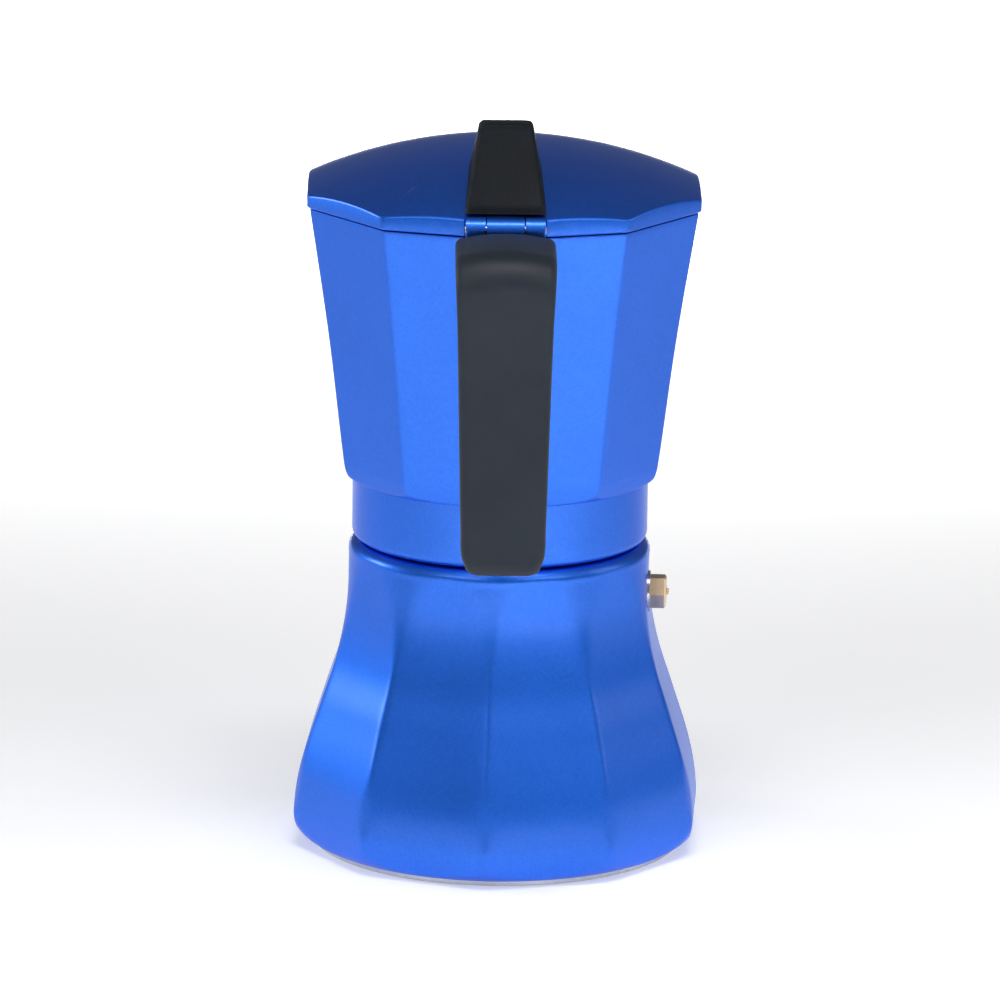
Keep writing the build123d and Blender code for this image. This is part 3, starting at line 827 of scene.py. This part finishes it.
def patches_group():
    """Broad, uneven patches between two values."""
    tree, given, made = effect_group("Patches", [("Scale", 40.0), ("Low", 0.0), ("High", 1.0)],
                                     [("Value", "NodeSocketFloat")])
    place = new_node(tree, "ShaderNodeTexCoord", -700, 0)
    noise = new_node(tree, "ShaderNodeTexNoise", -450, 0)
    noise.inputs["Detail"].default_value = 5
    noise.inputs["Roughness"].default_value = 0.55
    spread = new_node(tree, "ShaderNodeMapRange", -150, 0)
    spread.inputs["From Min"].default_value = 0.3
    spread.inputs["From Max"].default_value = 0.7
    wire(tree, (place.outputs["Object"], noise.inputs["Vector"]),
         (given.outputs["Scale"], noise.inputs["Scale"]),
         (noise.outputs["Fac"], spread.inputs["Value"]), (given.outputs["Low"], spread.inputs["To Min"]),
         (given.outputs["High"], spread.inputs["To Max"]), (spread.outputs["Result"], made.inputs["Value"]))
    return tree


def rub_group():
    """Mask of outward edges that hands and cloths have rubbed."""
    tree, given, made = effect_group("Rubbed edges", [("Start", 0.52), ("Full", 0.58), ("Scale", 300.0)],
                                     [("Mask", "NodeSocketFloat")])
    shape = new_node(tree, "ShaderNodeNewGeometry", -700, 200)
    place = new_node(tree, "ShaderNodeTexCoord", -700, -150)
    ramp = new_node(tree, "ShaderNodeMapRange", -400, 200)
    noise = new_node(tree, "ShaderNodeTexNoise", -400, -150)
    wire(tree, (shape.outputs["Pointiness"], ramp.inputs["Value"]),
         (given.outputs["Start"], ramp.inputs["From Min"]),
         (given.outputs["Full"], ramp.inputs["From Max"]), (place.outputs["Object"], noise.inputs["Vector"]),
         (given.outputs["Scale"], noise.inputs["Scale"]))
    patchy = math_node(tree, "MULTIPLY", 0, 0, ramp.outputs["Result"], noise.outputs["Fac"])
    wire(tree, (patchy, made.inputs["Mask"]))
    return tree


def turning_group():
    """Fine rings left by turning on a lathe, round the pot's axis."""
    tree, given, made = effect_group("Turning marks", [("Lines", 2200.0), ("Rise", 900.0)],
                                     [("Value", "NodeSocketFloat")])
    place = new_node(tree, "ShaderNodeTexCoord", -800, 100)
    split = new_node(tree, "ShaderNodeSeparateXYZ", -650, 100)
    wire(tree, (place.outputs["Object"], split.inputs[0]))
    xx = math_node(tree, "MULTIPLY", -500, 200, split.outputs["X"], split.outputs["X"])
    yy = math_node(tree, "MULTIPLY", -500, 50, split.outputs["Y"], split.outputs["Y"])
    reach = math_node(tree, "SQRT", -200, 150, math_node(tree, "ADD", -350, 150, xx, yy))
    lines = math_node(tree, "MULTIPLY", -50, 150, reach, given.outputs["Lines"])
    rise = math_node(tree, "MULTIPLY", -50, -50, split.outputs["Z"], given.outputs["Rise"])
    noise = new_node(tree, "ShaderNodeTexNoise", 300, 100, noise_dimensions="1D")
    noise.inputs["Scale"].default_value = 1.0
    noise.inputs["Detail"].default_value = 4
    wire(tree, (math_node(tree, "ADD", 120, 100, lines, rise), noise.inputs["W"]),
         (noise.outputs["Fac"], made.inputs["Value"]))
    return tree


SPECKLE = speckle_group()
PATCHES = patches_group()
RUBBED = rub_group()
TURNING = turning_group()


def effect(tree, group, x, y, **values):
    node = new_node(tree, "ShaderNodeGroup", x, y, node_tree=group)
    for label, value in values.items():
        node.inputs[label].default_value = value
    return node


def blend_colours(tree, factor, first, second, x, y):
    node = new_node(tree, "ShaderNodeMix", x, y, data_type="RGBA")
    for key, value in (("A", first), ("B", second)):
        socket = next(s for s in node.inputs if s.name == key and s.type == "RGBA")
        if isinstance(value, tuple):
            socket.default_value = (*value, 1)
        else:
            tree.links.new(value, socket)
    tree.links.new(factor, node.inputs["Factor"])
    return next(s for s in node.outputs if s.type == "RGBA")


def finish_shader(name, **values):
    material = bpy.data.materials.new(name)
    material.use_nodes = True
    tree = material.node_tree
    shader = tree.nodes["Principled BSDF"]
    for label, value in values.items():
        shader.inputs[label.replace("_", " ")].default_value = value
    return material, tree, shader


def bump(tree, shader, height, strength, distance):
    node = new_node(tree, "ShaderNodeBump", -250, -400)
    node.inputs["Strength"].default_value = strength
    node.inputs["Distance"].default_value = distance
    tree.links.new(height, node.inputs["Height"])
    tree.links.new(node.outputs["Normal"], shader.inputs["Normal"])


def coat(tree, shader, colour, scale, low, high):
    """Puts a colour on the shader, with a roughness that wanders from low to high in patches."""
    gloss = effect(tree, PATCHES, -900, -450, Scale=scale, Low=low, High=high)
    wire(tree, (colour, shader.inputs["Base Color"]), (gloss.outputs[0], shader.inputs["Roughness"]))


def blue_lacquer():
    """Metallic blue lacquer over cast aluminium: fine flake, slightly uneven, paler on rubbed edges."""
    deep, bright = (0.006, 0.125, 0.690), (0.012, 0.148, 0.790)
    flake_blue, rubbed_blue = (0.060, 0.230, 0.930), (0.160, 0.330, 0.900)
    material, tree, shader = finish_shader("Blue metallic lacquer", Metallic=0.96, Coat_Weight=0.65,
                                           Specular_Tint=(0.20, 0.48, 1.0, 1), Coat_Roughness=0.22,
                                           Coat_IOR=1.45)
    flake = effect(tree, SPECKLE, -900, 300, Scale=2300, Softness=0.45)
    cloud = effect(tree, PATCHES, -900, 50, Scale=34, Low=0.25, High=0.75)
    rubbed = effect(tree, RUBBED, -900, -200, Start=0.53, Full=0.66, Scale=260)
    body = blend_colours(tree, cloud.outputs[0], deep, bright, -600, 200)
    flecks = math_node(tree, "MULTIPLY", -650, 400, flake.outputs[0], 0.35)
    lit = blend_colours(tree, flecks, body, flake_blue, -400, 250)
    wear = math_node(tree, "MULTIPLY", -600, -200, rubbed.outputs[0], 0.45)
    worn = blend_colours(tree, wear, lit, rubbed_blue, -200, 200)
    coat(tree, shader, worn, scale=22, low=0.38, high=0.46)
    bump(tree, shader, flake.outputs[0], strength=0.10, distance=0.0001)
    return material


def soft_black():
    """Soft-touch coating of the handle: dark slate, very fine grain, a little dust, and rubbed edges painted
    lighter as a painted sheen.
    """
    dark, slate = (0.008, 0.014, 0.024), (0.012, 0.019, 0.031)
    # the last colour goes on the rubbed edges: worn there, and painted lighter as a painted sheen
    dust, rubbed_edge_painted_sheen = (0.030, 0.037, 0.047), (0.040, 0.049, 0.061)
    material, tree, shader = finish_shader("Soft-touch black", Specular_IOR_Level=0.3,
                                           Sheen_Weight=0.05, Sheen_Roughness=0.4)
    grain = effect(tree, SPECKLE, -900, 300, Scale=5200, Softness=0.5)
    cloud = effect(tree, PATCHES, -900, 50, Scale=55, Low=0.0, High=1.0)
    rubbed = effect(tree, RUBBED, -900, -200, Start=0.51, Full=0.60, Scale=400)
    body = blend_colours(tree, cloud.outputs[0], dark, slate, -600, 200)
    specks = math_node(tree, "MULTIPLY", -650, 400, grain.outputs[0], 0.22)
    dusty = blend_colours(tree, specks, body, dust, -400, 250)
    # rubbed edges: partly wear, partly a painted sheen in the base colour
    wear = math_node(tree, "MULTIPLY", -600, -200, rubbed.outputs[0], 0.5)
    worn = blend_colours(tree, wear, dusty, rubbed_edge_painted_sheen, -200, 200)
    coat(tree, shader, worn, scale=30, low=0.46, high=0.60)
    bump(tree, shader, grain.outputs[0], strength=0.25, distance=0.00006)
    return material


def lever_black():
    """Finely eroded black moulding of the thumb lever."""
    dark, grey_black, rubbed_grey = (0.004, 0.006, 0.009), (0.008, 0.011, 0.016), (0.035, 0.043, 0.054)
    material, tree, shader = finish_shader("Moulded black", Specular_IOR_Level=0.14)
    grain = effect(tree, SPECKLE, -900, 300, Scale=3800, Softness=0.35)
    rubbed = effect(tree, RUBBED, -900, -200, Start=0.51, Full=0.62, Scale=500)
    body = blend_colours(tree, grain.outputs[0], dark, grey_black, -500, 200)
    wear = math_node(tree, "MULTIPLY", -600, -200, rubbed.outputs[0], 0.6)
    worn = blend_colours(tree, wear, body, rubbed_grey, -200, 200)
    coat(tree, shader, worn, scale=60, low=0.50, high=0.60)
    bump(tree, shader, grain.outputs[0], strength=0.3, distance=0.00008)
    return material


def turned_metal(name, dark, light, low_gloss, high_gloss, lines=2200, rise=900):
    """Bare metal with lathe marks, a little staining and brighter edges."""
    material, tree, shader = finish_shader(name, Metallic=1.0)
    marks = effect(tree, TURNING, -900, 300, Lines=lines, Rise=rise)
    stain = effect(tree, PATCHES, -900, 50, Scale=90, Low=0.0, High=1.0)
    rubbed = effect(tree, RUBBED, -900, -200, Start=0.51, Full=0.60, Scale=600)
    tone = math_node(tree, "MULTIPLY_ADD", -650, 200, stain.outputs[0], 0.6,
                     math_node(tree, "MULTIPLY", -750, 350, marks.outputs[0], 0.5))
    body = blend_colours(tree, tone, dark, light, -400, 200)
    brighter = tuple(min(1.0, c * 1.15) for c in light)
    worn = blend_colours(tree, rubbed.outputs[0], body, brighter, -200, 200)
    coat(tree, shader, worn, scale=120, low=low_gloss, high=high_gloss)
    bump(tree, shader, marks.outputs[0], strength=0.25, distance=0.00006)
    return material


def silicone():
    """Pale silicone of the seal ring, dusted and a little coffee-stained."""
    clean, coffee = (0.72, 0.70, 0.64), (0.60, 0.54, 0.45)
    material, tree, shader = finish_shader("Pale silicone", Subsurface_Weight=0.1, Subsurface_Scale=0.002)
    stain = effect(tree, PATCHES, -900, 50, Scale=120, Low=0.0, High=0.8)
    grain = effect(tree, SPECKLE, -900, 300, Scale=1800, Softness=0.7)
    colour = blend_colours(tree, stain.outputs[0], clean, coffee, -400, 200)
    coat(tree, shader, colour, scale=80, low=0.5, high=0.65)
    bump(tree, shader, grain.outputs[0], strength=0.15, distance=0.0001)
    return material


def dress(node, material):
    """Gives a carried-over CAD node its finish."""
    mesh = nodes[node].data
    if not mesh.materials:
        mesh.materials.append(material)
    for i in range(len(mesh.materials)):
        mesh.materials[i] = material


# ---------------------------------------------------------------- the pot
lacquer = blue_lacquer()
steel = turned_metal("Spun steel", (0.40, 0.41, 0.43), (0.60, 0.61, 0.63), 0.24, 0.38)
aluminium = turned_metal("Spun aluminium", (0.62, 0.62, 0.63), (0.80, 0.80, 0.81), 0.26, 0.40)
brass = turned_metal("Turned brass", (0.52, 0.36, 0.20), (0.78, 0.60, 0.40), 0.28, 0.42, 3000, 0)
boiler_piece(lacquer)
chamber_piece(lacquer)
lid_piece(lacquer)
lever_piece(lever_black())
handle_piece(soft_black())
dress("seal_ring", silicone())
for node in ("base_disc", "valve_washer", "valve_spring", "handle_screw", "hinge_pin", "lever_screws",
             "lever_washers"):
    dress(node, steel)
for node in ("funnel", "funnel_plate", "filter_plate"):
    dress(node, aluminium)
for node in ("valve_body", "valve_cap", "valve_pin", "lever_inserts"):
    dress(node, brass)


# ---------------------------------------------------------------- floor, light, camera
def pale_floor():
    bm = bmesh.new()
    bmesh.ops.create_grid(bm, x_segments=2, y_segments=2, size=4.0)
    floor = mesh_object("studio_floor", bm)
    material, tree, shader = finish_shader("Pale paper sweep", Roughness=0.9, Emission_Strength=0.40)
    tone = effect(tree, PATCHES, -600, 0, Scale=3, Low=0.2, High=0.8)
    colour = blend_colours(tree, tone.outputs[0], (0.90, 0.90, 0.90), (0.92, 0.92, 0.92), -300, 0)
    wire(tree, (colour, shader.inputs["Base Color"]), (colour, shader.inputs["Emission Color"]))
    floor.data.materials.append(material)


def soft_light(name, place, aim, size, power, tint=(1, 1, 1), spread=180):
    data = bpy.data.lights.new(name, "AREA")
    data.spread = math.radians(spread)
    data.shape = "RECTANGLE"
    data.size, data.size_y = size
    data.energy = power
    data.color = tint
    lamp = bpy.data.objects.new(name, data)
    lamp.location = place
    lamp.rotation_euler = (Vector(aim) - Vector(place)).to_track_quat("-Z", "Y").to_euler()
    bpy.context.scene.collection.objects.link(lamp)


def studio():
    world = bpy.data.worlds.new("Studio air")
    world.use_nodes = True
    air = world.node_tree.nodes["Background"]
    air.inputs["Color"].default_value = (0.93, 0.95, 1.0, 1)
    air.inputs["Strength"].default_value = 0.18
    bpy.context.scene.world = world
    low_pot, mid_pot = (0, 0, 0.08), (0, 0, 0.12)
    soft_light("front_left", (-1.0, -1.6, 1.5), low_pot, size=(1.2, 1.0), power=8)
    soft_light("front_right", (1.2, -1.6, 1.5), low_pot, size=(1.4, 1.0), power=9)
    soft_light("side_left", (-1.5, 0.45, 0.5), mid_pot, size=(0.5, 0.5), power=0.9, spread=70)
    soft_light("side_right", (1.9, 0.1, 0.9), low_pot, size=(0.8, 1.2), power=4.5, tint=(1.0, 0.93, 0.9))
    # aimed at the floor in front of the pot and behind it
    soft_light("floor_front", (0.15, -0.75, 1.5), (0.15, -0.75, 0), size=(0.9, 0.7), power=7, spread=60)
    soft_light("floor_behind", (0.0, 1.3, 1.5), (0, 1.3, 0), size=(0.6, 1.2), power=9, spread=50)
    bpy.context.scene.view_settings.view_transform = "Standard"


def camera():
    """On the handle's side of the pot, looking a little down."""
    heading, tilt, roll = math.radians(0.586), math.radians(13.709), math.radians(0.752)
    reach, height = 2.0274, 0.58555  # metres from the pot's axis, and above the floor
    data = bpy.data.cameras.new("camera")
    data.sensor_width = 36
    data.lens = 287.03
    data.clip_start, data.clip_end = 0.05, 50
    cam = bpy.data.objects.new("camera", data)
    level = math.cos(tilt)
    forward = Vector((math.sin(heading) * level, math.cos(heading) * level, -math.sin(tilt)))
    turn = forward.to_track_quat("-Z", "Y").to_matrix().to_4x4() @ Matrix.Rotation(roll, 4, "Z")
    place = Matrix.Translation((-reach * math.sin(heading), -reach * math.cos(heading), height))
    cam.matrix_world = place @ turn
    bpy.context.scene.collection.objects.link(cam)
    bpy.context.scene.camera = cam


pale_floor()
studio()
camera()
